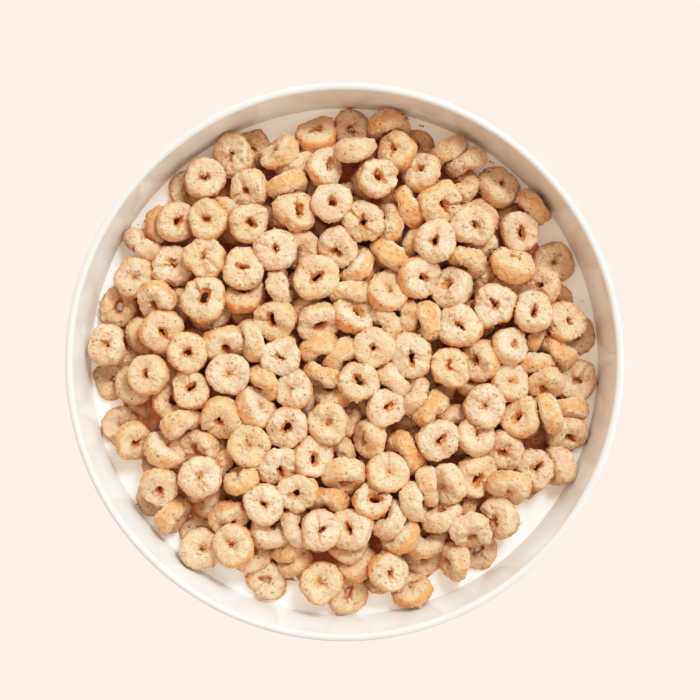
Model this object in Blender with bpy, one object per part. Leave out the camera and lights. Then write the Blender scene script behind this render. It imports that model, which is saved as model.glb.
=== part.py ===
"""A round white bowl of milk with a heap of small ring-shaped cereal floating on it.

Run with: blender --background --python part.py
Metres, +Z up. The origin is the middle of the foot, on the table. Seen from above, +X is right.
"""

import math

import bmesh
import bpy
import numpy as np
from mathutils import Matrix

# Bowl
RIM_RADIUS = 0.085  # outside, at the widest
BOWL_HEIGHT = 0.050
RIM_THICKNESS = 0.0024
INNER_LEAN = 0.160  # how far the inside wall runs outwards for each metre that it rises
OUTER_LEAN = 0.140  # a little steeper, so the wall thickens towards the base
INNER_CORNER = 0.016  # radius between wall and floor, inside
OUTER_CORNER = 0.020
FLOOR_HEIGHT = 0.006  # top of the floor
BASE_HEIGHT = 0.003  # underside of the body, above the table
FOOT_RADIUS = 0.050
FOOT_WIDTH = 0.0045
FOOT_RECESS = 0.002  # underside within the foot ring, above the table
FOOT_ROUND = 0.0008
BOWL_SIDES = 56

# Milk
MILK_BELOW_RIM = 0.022
MILK_HEIGHT = BOWL_HEIGHT - MILK_BELOW_RIM
GAP = 0.0003  # clearance between neighbouring solids

# One cereal ring
RING_RADIUS = 0.0065  # outside
HOLE_RADIUS = 0.0013
RING_THICKNESS = 0.0066
RING_SIDES = 7  # round the ring
TUBE_SIDES = 5  # round its section, with one of them level on top
FACET_SWELL = 1.07  # makes up for what so few flat sides cut off

# The heap's outline, seen from above
HEAP_RADIUS = 0.0765  # mean
BAYS = (  # where milk shows further in: direction in degrees, depth, half width in degrees
    (50, 0.002, 8),
    (98, 0.005, 9),
    (117, 0.004, 7),
    (281, 0.007, 14),
    (316, 0.004, 8),
)

# Scattering the rings: layers of a sunflower spiral, shaken up
SEED = 7
RING_PITCH = 0.0112  # mean distance between neighbours in one layer
LAYERS = (  # how far in from the outline each layer starts, and its height above the milk
    (0.005, 0.0008),
    (0.006, 0.0055),
    (0.016, 0.0095),
)
GOLDEN_ANGLE = math.pi * (3 - math.sqrt(5))
LAYER_TWIST = 2.1  # radians from each layer to the next
SHAKE = 0.0022
TILTS = ((0, 25), (25, 60), (60, 90))  # nearly flat, leaning, and on edge, in degrees
TILT_SHARES = (0.25, 0.6, 0.15)
SIZE_SPREAD = 0.04
SIZE_LIMITS = (0.9, 1.1)

# Settling the rings: each is felt as six balls set round its middle line
BALLS = 6
BALL_RADIUS = 0.0029
BALL_CIRCLE = RING_RADIUS - BALL_RADIUS
SETTLE_STEPS = 110
SINKING_STEPS = 88  # the steps in which the rings still sink, ever slower
FALL = 0.00014  # how far they sink in the first step
FLOAT_DEPTH = 0.0022  # how deep the lowest rings sit in the milk
HEAP_HEIGHT = 0.0155  # top of the heap above the milk
WALL_CLEARANCE = 0.0008
NEIGHBOUR_REACH = 0.0150  # rings further apart than this can't touch
NEIGHBOUR_STEPS = 8  # steps between two looks for neighbours
EASE_SHIFT = 1.5
EASE_TURN = 0.8

# Which rings show from above
PROBES = 12  # points round each ring where it is tested for others above it
MOST_COVERED = 0.6  # a ring shows if no more of it than this is covered

# Bed: the solid middle of the heap, under the rings that show
BED_INSET = 0.0040  # in from the heap's outline
BED_DROP = 0.0012  # below the middles of the rings around
BED_BLUR = 0.0075  # how far around
BED_LEAST = 0.0015  # least height above the milk
BED_SPOKES = 24
BED_RINGS = 5
HEAP_TRIANGLES = 10600


def arc(middle, radius, start, end, steps):
    """Points (r, z) round an arc, angles in degrees, both ends included."""
    angles = np.radians(np.linspace(start, end, steps + 1))
    return [(middle[0] + radius * math.cos(a), middle[1] + radius * math.sin(a)) for a in angles]


def leaning_wall(top_radius, top_height, lean, corner, floor, steps):
    """A rounded corner that leaves a floor and runs tangent into a leaning wall, as (r, z) points."""
    tilt = math.atan(lean)
    tangent_height = floor + corner * (1 - math.sin(tilt))
    tangent_radius = top_radius - lean * (top_height - tangent_height)
    middle = (tangent_radius - corner * math.cos(tilt), floor + corner)
    return arc(middle, corner, -90, -math.degrees(tilt), steps)


def inside_profile(clearance=0.0):
    """The corner between the bowl's floor and its inside wall, drawn in by a clearance."""
    return leaning_wall(
        RIM_RADIUS - RIM_THICKNESS - clearance * math.hypot(1, INNER_LEAN),
        BOWL_HEIGHT,
        INNER_LEAN,
        INNER_CORNER - clearance,
        FLOOR_HEIGHT + clearance,
        steps=4,
    )


def inside_radius(height, clearance=0.0):
    """Radius of the inside wall at a height above its corner."""
    return RIM_RADIUS - RIM_THICKNESS - INNER_LEAN * (BOWL_HEIGHT - height) - clearance


def bowl_profile():
    """Half section of the bowl, from the middle of its underside round to the middle of its floor."""
    lip = RIM_THICKNESS / 2
    foot_inside = FOOT_RADIUS - FOOT_WIDTH
    points = [(0, FOOT_RECESS), (foot_inside - FOOT_RECESS, FOOT_RECESS)]
    points += arc((foot_inside + FOOT_ROUND, FOOT_ROUND), FOOT_ROUND, 180, 270, 2)
    points += arc((FOOT_RADIUS - FOOT_ROUND, FOOT_ROUND), FOOT_ROUND, 270, 360, 2)
    points += [(FOOT_RADIUS, BASE_HEIGHT)]
    points += leaning_wall(RIM_RADIUS, BOWL_HEIGHT - lip, OUTER_LEAN, OUTER_CORNER, BASE_HEIGHT, steps=4)
    points += arc((RIM_RADIUS - lip, BOWL_HEIGHT - lip), lip, 0, 180, 4)
    points += reversed(inside_profile())
    points += [(0, FLOOR_HEIGHT)]
    return points


def spin_round(form, sides):
    """Turns everything in the bmesh once round the Z axis."""
    bmesh.ops.spin(
        form,
        geom=form.verts[:] + form.edges[:],
        cent=(0, 0, 0),
        axis=(0, 0, 1),
        angle=2 * math.pi,
        steps=sides,
        use_merge=True,
    )
    bmesh.ops.remove_doubles(form, verts=form.verts, dist=1e-6)
    bmesh.ops.recalc_face_normals(form, faces=form.faces)


def turned(name, profile, sides):
    """A closed solid of revolution about Z from (r, z) points that start and end on the axis."""
    form = bmesh.new()
    corners = [form.verts.new((r, 0, z)) for r, z in profile]
    for pair in zip(corners, corners[1:]):
        form.edges.new(pair)
    spin_round(form, sides)
    mesh = bpy.data.meshes.new(name)
    form.to_mesh(mesh)
    form.free()
    made = bpy.data.objects.new(name, mesh)
    bpy.context.scene.collection.objects.link(made)
    return made


def finish(made, colour, roughness):
    """Shades an object smooth between its sharp edges and gives it its own plain material."""
    made.data.shade_smooth()
    made.data.set_sharp_from_angle(angle=math.radians(40))
    material = bpy.data.materials.new(made.name)
    material.use_nodes = True
    shader = material.node_tree.nodes["Principled BSDF"]
    shader.inputs["Base Color"].default_value = (*colour, 1)
    shader.inputs["Roughness"].default_value = roughness
    shader.inputs["Metallic"].default_value = 0
    made.data.materials.clear()
    made.data.materials.append(material)


def milk():
    """The milk fills the bowl up to its level, a hair's breadth in from the porcelain."""
    edge = inside_radius(MILK_HEIGHT, GAP)
    profile = [(0, FLOOR_HEIGHT + GAP)] + inside_profile(GAP) + [(edge, MILK_HEIGHT), (0, MILK_HEIGHT)]
    return turned("milk", profile, BOWL_SIDES)


def heap_outline(angle):
    """How far the heap reaches from the middle in one direction."""
    reach = HEAP_RADIUS
    for direction, depth, half_width in BAYS:
        off = (math.degrees(angle) - direction + 180) % 360 - 180
        reach -= depth * math.exp(-((off / half_width) ** 2))
    return reach


def scattered_rings(rng):
    """First places, turns and sizes of the rings."""
    places, turns = [], []
    for layer, (inset, lift) in enumerate(LAYERS):
        count = round(math.pi * (HEAP_RADIUS - inset) ** 2 / RING_PITCH**2)
        for i in range(count):
            angle = i * GOLDEN_ANGLE + layer * LAYER_TWIST
            reach = (heap_outline(angle) - inset) * math.sqrt((i + 0.5) / count)
            x, y = rng.normal(0, SHAKE, 2) + (reach * math.cos(angle), reach * math.sin(angle))
            places.append((x, y, MILK_HEIGHT + lift))
            tilt = rng.choice([rng.uniform(low, high) for low, high in TILTS], p=TILT_SHARES)
            lean = Matrix.Rotation(math.radians(tilt), 3, "X")
            spin = Matrix.Rotation(rng.uniform(0, 2 * math.pi), 3, "Z")
            turns.append(np.array(spin @ lean))
    sizes = rng.normal(1, SIZE_SPREAD, len(places)).clip(*SIZE_LIMITS)
    return np.array(places), np.array(turns), sizes


def arms(count, turns, sizes):
    """Points round the middle line of every ring, as seen from its own middle."""
    angles = np.arange(count) * 2 * math.pi / count
    circle = BALL_CIRCLE * np.stack([np.cos(angles), np.sin(angles), 0 * angles], axis=1)
    return np.einsum("nij,kj->nki", turns, circle) * sizes[:, None, None]


def turn_by(turns, vectors):
    """Each rotation matrix turned further by its small rotation vector."""
    angle = np.linalg.norm(vectors, axis=1)
    x, y, z = (vectors / np.maximum(angle, 1e-12)[:, None]).T
    zero = np.zeros_like(x)
    cross = np.array([[zero, -z, y], [z, zero, -x], [-y, x, zero]]).transpose(2, 0, 1)
    sine, cosine = np.sin(angle)[:, None, None], np.cos(angle)[:, None, None]
    return (np.eye(3) + sine * cross + (1 - cosine) * (cross @ cross)) @ turns


def pushed_apart(balls, radii, first, second):
    """How far each ball has to move so that neighbouring rings no longer cross."""
    shift, touches = np.zeros_like(balls), np.zeros(balls.shape[:2])
    between = balls[first][:, :, None] - balls[second][:, None]
    distance = np.linalg.norm(between, axis=3)
    overlap = (radii[first] + radii[second])[:, None, None] - distance
    push = np.where(overlap > 0, overlap / 2, 0)[..., None] * between / distance[..., None]
    np.add.at(shift, first, push.sum(2))
    np.add.at(shift, second, -push.sum(1))
    np.add.at(touches, first, (overlap > 0).sum(2))
    np.add.at(touches, second, (overlap > 0).sum(1))
    return shift / np.maximum(touches, 1)[..., None]


def settled_rings(places, turns, sizes):
    """Lets the rings sink on to the milk, pushes them apart and keeps them in from the wall."""
    radii = BALL_RADIUS * sizes
    for step in range(SETTLE_STEPS):
        places[:, 2] -= FALL * max(0, 1 - step / SINKING_STEPS)
        if step % NEIGHBOUR_STEPS == 0:
            apart = np.linalg.norm(places[:, None] - places[None], axis=2)
            first, second = np.nonzero(np.triu(apart < NEIGHBOUR_REACH, 1))
        reach = arms(BALLS, turns, sizes)
        balls = places[:, None] + reach
        shift = pushed_apart(balls, radii, first, second)
        above_milk = balls[..., 2] - MILK_HEIGHT
        too_low = radii[:, None] - FLOAT_DEPTH - above_milk
        too_high = radii[:, None] - HEAP_HEIGHT + above_milk
        shift[..., 2] += np.maximum(too_low, 0) - np.maximum(too_high, 0)
        out = np.hypot(balls[..., 0], balls[..., 1])
        too_far = out + radii[:, None] - inside_radius(balls[..., 2], WALL_CLEARANCE)
        shift[..., :2] -= balls[..., :2] * (np.maximum(too_far, 0) / out)[..., None]
        places += shift.mean(1) * EASE_SHIFT
        turning = np.cross(reach, shift).sum(1) / (BALLS * (BALL_CIRCLE * sizes[:, None]) ** 2)
        turns = turn_by(turns, turning * EASE_TURN)
    return places, turns


def showing(places, turns, sizes):
    """Which rings can be seen from above: those that higher rings leave mostly uncovered."""
    points = (places[:, None] + arms(PROBES, turns, sizes)).reshape(-1, 3)
    ring = np.repeat(np.arange(len(places)), PROBES)
    beside = np.linalg.norm(points[:, None, :2] - points[None, :, :2], axis=2) < BALL_RADIUS
    higher = points[None, :, 2] > points[:, None, 2] + BALL_RADIUS
    covered = (beside & higher & (ring[:, None] != ring[None])).any(1)
    return covered.reshape(-1, PROBES).mean(1) <= MOST_COVERED


def ring_mesh():
    """One cereal ring of few sides, lying flat round the origin."""
    tube = (RING_RADIUS - HOLE_RADIUS) / 2
    form = bmesh.new()
    section = bmesh.ops.create_circle(form, segments=TUBE_SIDES, radius=1)["verts"]
    bmesh.ops.rotate(form, verts=section, matrix=Matrix.Rotation(-math.pi / 2, 3, "X"))
    bmesh.ops.scale(form, verts=section, vec=(tube * FACET_SWELL, 1, RING_THICKNESS / 2 * FACET_SWELL))
    bmesh.ops.translate(form, verts=section, vec=(HOLE_RADIUS + tube, 0, 0))
    spin_round(form, RING_SIDES)
    mesh = bpy.data.meshes.new("ring")
    form.to_mesh(mesh)
    form.free()
    return mesh


def heap_bed(name, places):
    """The solid middle of the heap: it keeps to the outline and rises with the rings around."""
    top, base = 1, 0
    profile = [(share, top) for share in np.linspace(0, 1, BED_RINGS + 1)] + [(1, base), (0, base)]
    bed = turned(name, profile, BED_SPOKES)
    for corner in bed.data.vertices:
        reach = heap_outline(math.atan2(corner.co.y, corner.co.x)) - BED_INSET
        x, y = corner.co.x * reach, corner.co.y * reach
        weights = np.exp(-((np.hypot(places[:, 0] - x, places[:, 1] - y) / BED_BLUR) ** 2))
        height = (weights * places[:, 2]).sum() / weights.sum() - BED_DROP
        height = max(height, MILK_HEIGHT + BED_LEAST)
        corner.co = (x, y, height if corner.co.z == top else MILK_HEIGHT - BED_LEAST)
    return bed


def take_modifiers(made):
    """Leaves an object with the mesh that its modifiers make, and without them."""
    evaluated = made.evaluated_get(bpy.context.evaluated_depsgraph_get())
    mesh = bpy.data.meshes.new_from_object(evaluated)
    made.modifiers.clear()
    made.data = mesh


def apply_boolean(target, operation, **operand):
    """Joins or cuts a solid and leaves the result as its mesh."""
    boolean = target.modifiers.new(operation.lower(), "BOOLEAN")
    boolean.operation = operation
    boolean.solver = "MANIFOLD"
    for setting, value in operand.items():
        setattr(boolean, setting, value)
    take_modifiers(target)


def thin_out(made, triangles):
    """Collapses the slivers that joining leaves, down to about this many triangles."""
    made.data.calc_loop_triangles()
    slivers = made.modifiers.new("slivers", "DECIMATE")
    slivers.ratio = triangles / len(made.data.loop_triangles)
    take_modifiers(made)


def keep_largest_body(made):
    """Drops loose scraps and fills sealed hollows, both of which are shells apart from the main one."""
    form = bmesh.new()
    form.from_mesh(made.data)
    shells = []
    unseen = set(form.faces)
    while unseen:
        start = unseen.pop()
        shell, to_visit = [start], [start]
        while to_visit:
            for edge in to_visit.pop().edges:
                fresh = unseen.intersection(edge.link_faces)
                unseen -= fresh
                shell += fresh
                to_visit += fresh
        shells.append(shell)
    shells.sort(key=len)
    loose = [face for shell in shells[:-1] for face in shell]
    bmesh.ops.delete(form, geom=loose, context="FACES")
    form.to_mesh(made.data)
    form.free()


def cereal_heap():
    """The heap: a bed with every ring that shows fused on, cut off flat just above the milk."""
    places, turns, sizes = scattered_rings(np.random.default_rng(SEED))
    places, turns = settled_rings(places, turns, sizes)
    seen = showing(places, turns, sizes)
    heap = heap_bed("cereal_heap", places[seen])
    mesh = ring_mesh()
    rings = bpy.data.collections.new("rings")
    bpy.context.scene.collection.children.link(rings)
    for place, turn, size in zip(places[seen], turns[seen], sizes[seen]):
        ring = bpy.data.objects.new("ring", mesh)
        ring.matrix_world = Matrix.Translation(place) @ Matrix(turn).to_4x4() @ Matrix.Scale(size, 4)
        rings.objects.link(ring)
    apply_boolean(heap, "UNION", operand_type="COLLECTION", collection=rings)
    for ring in list(rings.objects):
        bpy.data.objects.remove(ring)
    bpy.data.collections.remove(rings)
    base = MILK_HEIGHT + GAP
    below = turned("below", [(0, 0), (RIM_RADIUS, 0), (RIM_RADIUS, base), (0, base)], BED_SPOKES)
    apply_boolean(heap, "DIFFERENCE", object=below)
    bpy.data.objects.remove(below)
    keep_largest_body(heap)
    thin_out(heap, HEAP_TRIANGLES)
    for corner in heap.data.vertices:
        corner.co.z = max(corner.co.z, base)
    return heap


def main():
    for old in list(bpy.data.objects):
        bpy.data.objects.remove(old)
    finish(turned("bowl", bowl_profile(), BOWL_SIDES), colour=(0.86, 0.84, 0.80), roughness=0.2)
    finish(milk(), colour=(0.93, 0.88, 0.78), roughness=0.3)
    finish(cereal_heap(), colour=(0.80, 0.50, 0.25), roughness=0.8)


if __name__ == "__main__":
    main()
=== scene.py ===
# %% [markdown]
# # A bowl of cereal rings in milk
#
# The bowl, the milk and one plain solid for the whole heap of cereal come packed, at their real size.
# They say where everything is. Here each of them gets its looks: a glazed bowl, milk that creeps up
# whatever it wets, and several hundred puffed rings in place of the plain heap.
# Everything is in metres, +Z is up, and the bowl stands on the origin.

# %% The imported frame
import math

import bmesh
import bpy
import numpy as np
from mathutils import Matrix, Vector


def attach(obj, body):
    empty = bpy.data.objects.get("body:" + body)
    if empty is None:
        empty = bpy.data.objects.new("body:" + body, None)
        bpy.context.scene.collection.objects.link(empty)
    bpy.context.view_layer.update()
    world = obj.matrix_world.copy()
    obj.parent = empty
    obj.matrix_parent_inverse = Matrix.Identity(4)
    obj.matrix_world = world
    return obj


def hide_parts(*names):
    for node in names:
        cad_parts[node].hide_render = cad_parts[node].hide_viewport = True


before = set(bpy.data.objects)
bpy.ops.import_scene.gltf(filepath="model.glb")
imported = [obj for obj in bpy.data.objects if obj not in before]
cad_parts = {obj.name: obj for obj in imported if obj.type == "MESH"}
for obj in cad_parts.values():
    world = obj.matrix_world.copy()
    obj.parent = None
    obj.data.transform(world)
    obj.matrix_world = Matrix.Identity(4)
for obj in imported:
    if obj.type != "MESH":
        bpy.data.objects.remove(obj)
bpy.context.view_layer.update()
RIM_RADIUS = 0.085
BOWL_HEIGHT = 0.050
MILK_BELOW_RIM = 0.022
MILK_HEIGHT = BOWL_HEIGHT - MILK_BELOW_RIM

# %% [markdown]
# ## Camera
#
# The photograph looks straight down. The bowl sits a little left of its middle and a little below it,
# so the camera stands a little to the right of the bowl and a little above it, and isn't turned at all.
# The lens follows from one measure: how many pixels the rim takes up at the height of the rim.

# %% Camera
PICTURE_SIDE = 700  # pixels
RIM_RADIUS_IN_PICTURE = 280  # pixels
BOWL_MIDDLE_IN_PICTURE = (344.5, 362)  # pixels from the left and from the top
CAMERA_ABOVE_RIM = 0.70
SENSOR = 36

pixel = RIM_RADIUS / RIM_RADIUS_IN_PICTURE
camera = bpy.data.objects.new("camera", bpy.data.cameras.new("camera"))
camera.location = (
    (PICTURE_SIDE / 2 - BOWL_MIDDLE_IN_PICTURE[0]) * pixel,
    (BOWL_MIDDLE_IN_PICTURE[1] - PICTURE_SIDE / 2) * pixel,
    BOWL_HEIGHT + CAMERA_ABOVE_RIM,
)
camera.data.sensor_width = SENSOR
camera.data.lens = SENSOR * CAMERA_ABOVE_RIM / (PICTURE_SIDE * pixel)
bpy.context.scene.collection.objects.link(camera)
bpy.context.scene.camera = camera
print("one pixel is", round(pixel * 1000, 3), "mm at the rim, lens", round(camera.data.lens, 1), "mm")

# %% [markdown]
# ## Helpers for pieces and shaders
#
# Every piece goes the same way: a mesh becomes an object of the scene with one material, and then the
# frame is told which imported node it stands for. Every look is a graph of nodes in which a few steps
# come back: mix two colours, map a value to another range, do one step of maths. Each of these gets a
# short function, so that a piece or a material further down reads like a recipe.

# %% From a mesh to a piece of the object


def object_of(name, mesh, material):
    """Puts a mesh in the scene as an object, shaded smooth and with its material."""
    mesh.shade_smooth()
    mesh.materials.append(material)
    thing = bpy.data.objects.new(name, mesh)
    bpy.context.scene.collection.objects.link(thing)
    return thing


def object_from(name, form, material):
    """Puts a bmesh in the scene as an object, and frees the bmesh."""
    mesh = bpy.data.meshes.new(name)
    form.to_mesh(mesh)
    form.free()
    return object_of(name, mesh, material)


def stand_in(piece, node):
    """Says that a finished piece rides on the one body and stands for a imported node."""
    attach(piece, "root")
    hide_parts(node)
    print(piece.name, "has", len(piece.data.polygons), "faces")


# %% Steps of a shader


def node_material(name):
    """A new material, its node tree and its Principled shader."""
    material = bpy.data.materials.new(name)
    material.use_nodes = True
    return material, material.node_tree, material.node_tree.nodes["Principled BSDF"]


def feed(tree, node, inputs):
    """Gives a node its inputs: an output is linked, and a number or a colour is set."""
    for place, value in inputs.items():
        if isinstance(value, bpy.types.NodeSocket):
            tree.links.new(value, node.inputs[place])
        elif isinstance(value, tuple):
            node.inputs[place].default_value = (*value, 1)
        else:
            node.inputs[place].default_value = value


def mixed(tree, share, first, second):
    """Mixes two colours by a share. Each is an output to link or a value to set."""
    node = tree.nodes.new("ShaderNodeMix")
    node.data_type = "RGBA"
    feed(tree, node, {0: share, 6: first, 7: second})
    return node.outputs[2]


def ramp(tree, value, low, high, to_low=0.0, to_high=1.0):
    """Maps a value from low..high to another range, smoothly and without going past its ends."""
    node = tree.nodes.new("ShaderNodeMapRange")
    node.interpolation_type = "SMOOTHSTEP"
    ends = {"From Min": low, "From Max": high, "To Min": to_low, "To Max": to_high}
    feed(tree, node, {"Value": value} | ends)
    return node.outputs[0]


def combined(tree, operation, first, second):
    """One maths step on two values, each an output to link or a number."""
    node = tree.nodes.new("ShaderNodeMath")
    node.operation = operation
    feed(tree, node, {0: first, 1: second})
    return node.outputs[0]


def times(tree, value, factor):
    """A value weakened or strengthened by a factor."""
    return combined(tree, "MULTIPLY", value, factor)


# %% [markdown]
# ## Floor
#
# The bowl lies on pale cream paper that is evenly lit and takes no visible shadow. So the paper gives off
# nearly all of its brightness by itself and throws back hardly any of the light that falls on it. Its
# colour is the one that turns into the photograph's cream under the contrast curve further down.

# %% Floor
PAPER_BEFORE_CONTRAST = (0.985, 0.848, 0.760)
GLOWING_SHARE = 0.968  # of the paper's brightness
THROWN_BACK = (0.03, 0.028, 0.025)
FLOOR_HALF_SIDE = 2.5

paper, _, shader = node_material("paper")
shader.inputs["Base Color"].default_value = (*THROWN_BACK, 1)
shader.inputs["Roughness"].default_value = 1
shader.inputs["Specular IOR Level"].default_value = 0
glowing = [GLOWING_SHARE * channel for channel in PAPER_BEFORE_CONTRAST]
shader.inputs["Emission Color"].default_value = (*glowing, 1)
shader.inputs["Emission Strength"].default_value = 1
form = bmesh.new()
bmesh.ops.create_grid(form, x_segments=1, y_segments=1, size=FLOOR_HALF_SIDE)
object_from("floor", form, paper)
print("the floor is", 2 * FLOOR_HALF_SIDE, "m wide")

# %% [markdown]
# ## Window light
#
# The light is one big soft window at the upper right, about 50 degrees up. A sun lamp is the bright
# middle of it. Its softness is the angle that the lamp seems to fill, and blurs the shadows' edges.

# %% Window light
KEY_DIRECTION = 60  # degrees round from +X
KEY_HEIGHT = 50  # degrees up
KEY_SOFTNESS = 18  # degrees across
KEY_STRENGTH = 1.85
KEY_COLOUR = (0.90, 0.98, 1.03)


def towards(around, up):
    """Unit vector towards a light that stands so many degrees round from +X and up."""
    around, up = math.radians(around), math.radians(up)
    return Vector((math.cos(around) * math.cos(up), math.sin(around) * math.cos(up), math.sin(up)))


key = bpy.data.objects.new("key", bpy.data.lights.new("key", "SUN"))
key.data.energy = KEY_STRENGTH
key.data.color = KEY_COLOUR
key.data.angle = math.radians(KEY_SOFTNESS)
key.rotation_euler = towards(KEY_DIRECTION, KEY_HEIGHT).to_track_quat("Z", "Y").to_euler()
bpy.context.scene.collection.objects.link(key)
print("key light", KEY_STRENGTH, "from", KEY_DIRECTION, "degrees round and", KEY_HEIGHT, "up")

# %% [markdown]
# ## Sky
#
# A wide glow in the sky on the window's side is the soft edge of that light. The rest of the sky is a
# warm fill, which colours the shade between the rings and is dimmest straight overhead. The camera
# itself sees none of it: its own rays find the colour of the paper there, wherever the floor ends.

# %% Sky
GLOW_DIRECTION = 42  # degrees round from +X
GLOW_HEIGHT = 20  # degrees up
GLOW_EDGE = (-0.7, 0.75)  # cosines off the glow's middle between which it sets in
WINDOW_GLOW = (1.22, 1.29, 1.30)
FILL_COLOUR = (0.70, 0.52, 0.39)
OVERHEAD = (0.575, 0.445, 0.34)
OVERHEAD_EDGE = (0.66, 0.97)  # sines of the height between which the sky grows dimmer

world = bpy.data.worlds.new("fill")
bpy.context.scene.world = world
world.use_nodes = True
sky = world.node_tree
direction = sky.nodes.new("ShaderNodeTexCoord").outputs["Generated"]
nearness = sky.nodes.new("ShaderNodeVectorMath")
nearness.operation = "DOT_PRODUCT"
feed(sky, nearness, {0: direction, 1: towards(GLOW_DIRECTION, GLOW_HEIGHT)})
height = sky.nodes.new("ShaderNodeSeparateXYZ")
feed(sky, height, {0: direction})
light = mixed(sky, ramp(sky, nearness.outputs["Value"], *GLOW_EDGE), FILL_COLOUR, WINDOW_GLOW)
light = mixed(sky, ramp(sky, height.outputs["Z"], *OVERHEAD_EDGE), light, OVERHEAD)
lighting = sky.nodes["Background"]
feed(sky, lighting, {"Color": light})
backdrop = sky.nodes.new("ShaderNodeBackground")
feed(sky, backdrop, {"Color": PAPER_BEFORE_CONTRAST})
seen_directly = sky.nodes.new("ShaderNodeLightPath").outputs["Is Camera Ray"]
choose = sky.nodes.new("ShaderNodeMixShader")
feed(sky, choose, {0: seen_directly, 1: lighting.outputs[0], 2: backdrop.outputs[0]})
feed(sky, sky.nodes["World Output"], {"Surface": choose.outputs[0]})
print("sky with", len(sky.nodes), "nodes, its glow from", GLOW_DIRECTION, "degrees round")

# %% [markdown]
# ## Contrast
#
# The photograph was graded: its shade is deep and its highlights are nearly white. A curve in the view
# settings does the same to the render. It dips below the diagonal in the dark and rises above it in
# the light, and its last point keeps the brightest white just under the top.

# %% Contrast
CONTRAST = (
    (0.0, 0.0), (0.03, 0.018), (0.08, 0.062), (0.19, 0.178), (0.30, 0.308),
    (0.45, 0.49), (0.65, 0.71), (0.80, 0.85), (1.0, 0.985),
)

view = bpy.context.scene.view_settings
view.view_transform = "Standard"
view.use_curve_mapping = True
curve = view.curve_mapping.curves[3]  # the one for all three channels together
curve.points[0].location = CONTRAST[0]
curve.points[1].location = CONTRAST[-1]
for point in CONTRAST[1:-1]:
    curve.points.new(*point)
view.curve_mapping.update()
print("the contrast curve has", len(curve.points), "points")

# %% [markdown]
# ## Shapes that are turned
#
# A bowl is made on a wheel, so its section is drawn once and spun round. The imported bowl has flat
# sides that are easy to count. This one uses the same section with smoother arcs and more steps, so
# that its rim and its highlights are round.

# %% Turning a section


def arc(middle, radius, start, end, steps):
    """Points (r, z) round an arc, angles in degrees, both ends included."""
    angles = np.radians(np.linspace(start, end, steps + 1))
    return [(middle[0] + radius * math.cos(a), middle[1] + radius * math.sin(a)) for a in angles]


def leaning_wall(top_radius, top_height, lean, corner, floor_height, steps):
    """A rounded corner that leaves a floor and runs tangent into a leaning wall, as (r, z) points."""
    tilt = math.atan(lean)
    tangent_height = floor_height + corner * (1 - math.sin(tilt))
    tangent_radius = top_radius - lean * (top_height - tangent_height)
    middle = (tangent_radius - corner * math.cos(tilt), floor_height + corner)
    return arc(middle, corner, -90, -math.degrees(tilt), steps)


def spin_round(form, sides):
    """Turns everything in the bmesh once round the Z axis and faces it outwards."""
    bmesh.ops.spin(
        form,
        geom=form.verts[:] + form.edges[:],
        cent=(0, 0, 0),
        axis=(0, 0, 1),
        angle=2 * math.pi,
        steps=sides,
        use_merge=True,
    )
    bmesh.ops.remove_doubles(form, verts=form.verts, dist=1e-6)
    bmesh.ops.recalc_face_normals(form, faces=form.faces)


def turned(points, sides):
    """A bmesh turned round the Z axis from a section of (r, z) points."""
    form = bmesh.new()
    corners = [form.verts.new((r, 0, z)) for r, z in points]
    for pair in zip(corners, corners[1:]):
        form.edges.new(pair)
    spin_round(form, sides)
    return form


# %% [markdown]
# ## A noise that several materials share
#
# Porcelain, milk and cereal all change a little over their surface. One node group makes that change:
# it takes a size in metres and gives back a smooth value between 0 and 1.

# %% Unevenness


def new_group(name, inputs, output):
    """An empty shader node group of plain numbers, with its node of inputs and its node of outputs."""
    group = bpy.data.node_groups.new(name, "ShaderNodeTree")
    for label, default in inputs.items():
        socket = group.interface.new_socket(label, in_out="INPUT", socket_type="NodeSocketFloat")
        socket.default_value = default
    group.interface.new_socket(output, in_out="OUTPUT", socket_type="NodeSocketFloat")
    return group, group.nodes.new("NodeGroupInput"), group.nodes.new("NodeGroupOutput")


def placed(tree, group, **values):
    """A node group in a tree, with its own values for the group's inputs; gives back its output."""
    node = tree.nodes.new("ShaderNodeGroup")
    node.node_tree = group
    feed(tree, node, values)
    return node.outputs[0]


def unevenness_group():
    """Soft noise of a size given in metres, stretched to run from 0 to 1."""
    inputs = {"Size": 0.01, "Detail": 2.0, "Contrast": 0.35}
    group, given, result = new_group("unevenness", inputs, "Value")
    place = group.nodes.new("ShaderNodeTexCoord").outputs["Object"]
    scale = combined(group, "DIVIDE", 1.0, given.outputs["Size"])
    noise = group.nodes.new("ShaderNodeTexNoise")
    feed(group, noise, {"Vector": place, "Scale": scale, "Detail": given.outputs["Detail"]})
    half = times(group, given.outputs["Contrast"], 0.5)
    low = combined(group, "SUBTRACT", 0.5, half)
    high = combined(group, "ADD", 0.5, half)
    stretch = group.nodes.new("ShaderNodeMapRange")
    feed(group, stretch, {"Value": noise.outputs[0], "From Min": low, "From Max": high})
    feed(group, result, {"Value": stretch.outputs[0]})
    return group


UNEVENNESS = unevenness_group()


def uneven(tree, size, detail=2.0, contrast=0.35):
    """The unevenness group in a tree, with its own size; gives back its output."""
    return placed(tree, UNEVENNESS, Size=size, Detail=detail, Contrast=contrast)


def bumped(tree, shader, height, depth):
    """Feeds a height to the shader's Normal through a Bump node of a depth in metres."""
    bump = tree.nodes.new("ShaderNodeBump")
    feed(tree, bump, {"Strength": 1, "Distance": depth, "Height": height})
    tree.links.new(bump.outputs["Normal"], shader.inputs["Normal"])


def height_above(tree, level):
    """Height of the surface above a level, in metres."""
    split = tree.nodes.new("ShaderNodeSeparateXYZ")
    feed(tree, split, {0: tree.nodes.new("ShaderNodeTexCoord").outputs["Object"]})
    return combined(tree, "SUBTRACT", split.outputs["Z"], level)


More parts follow.
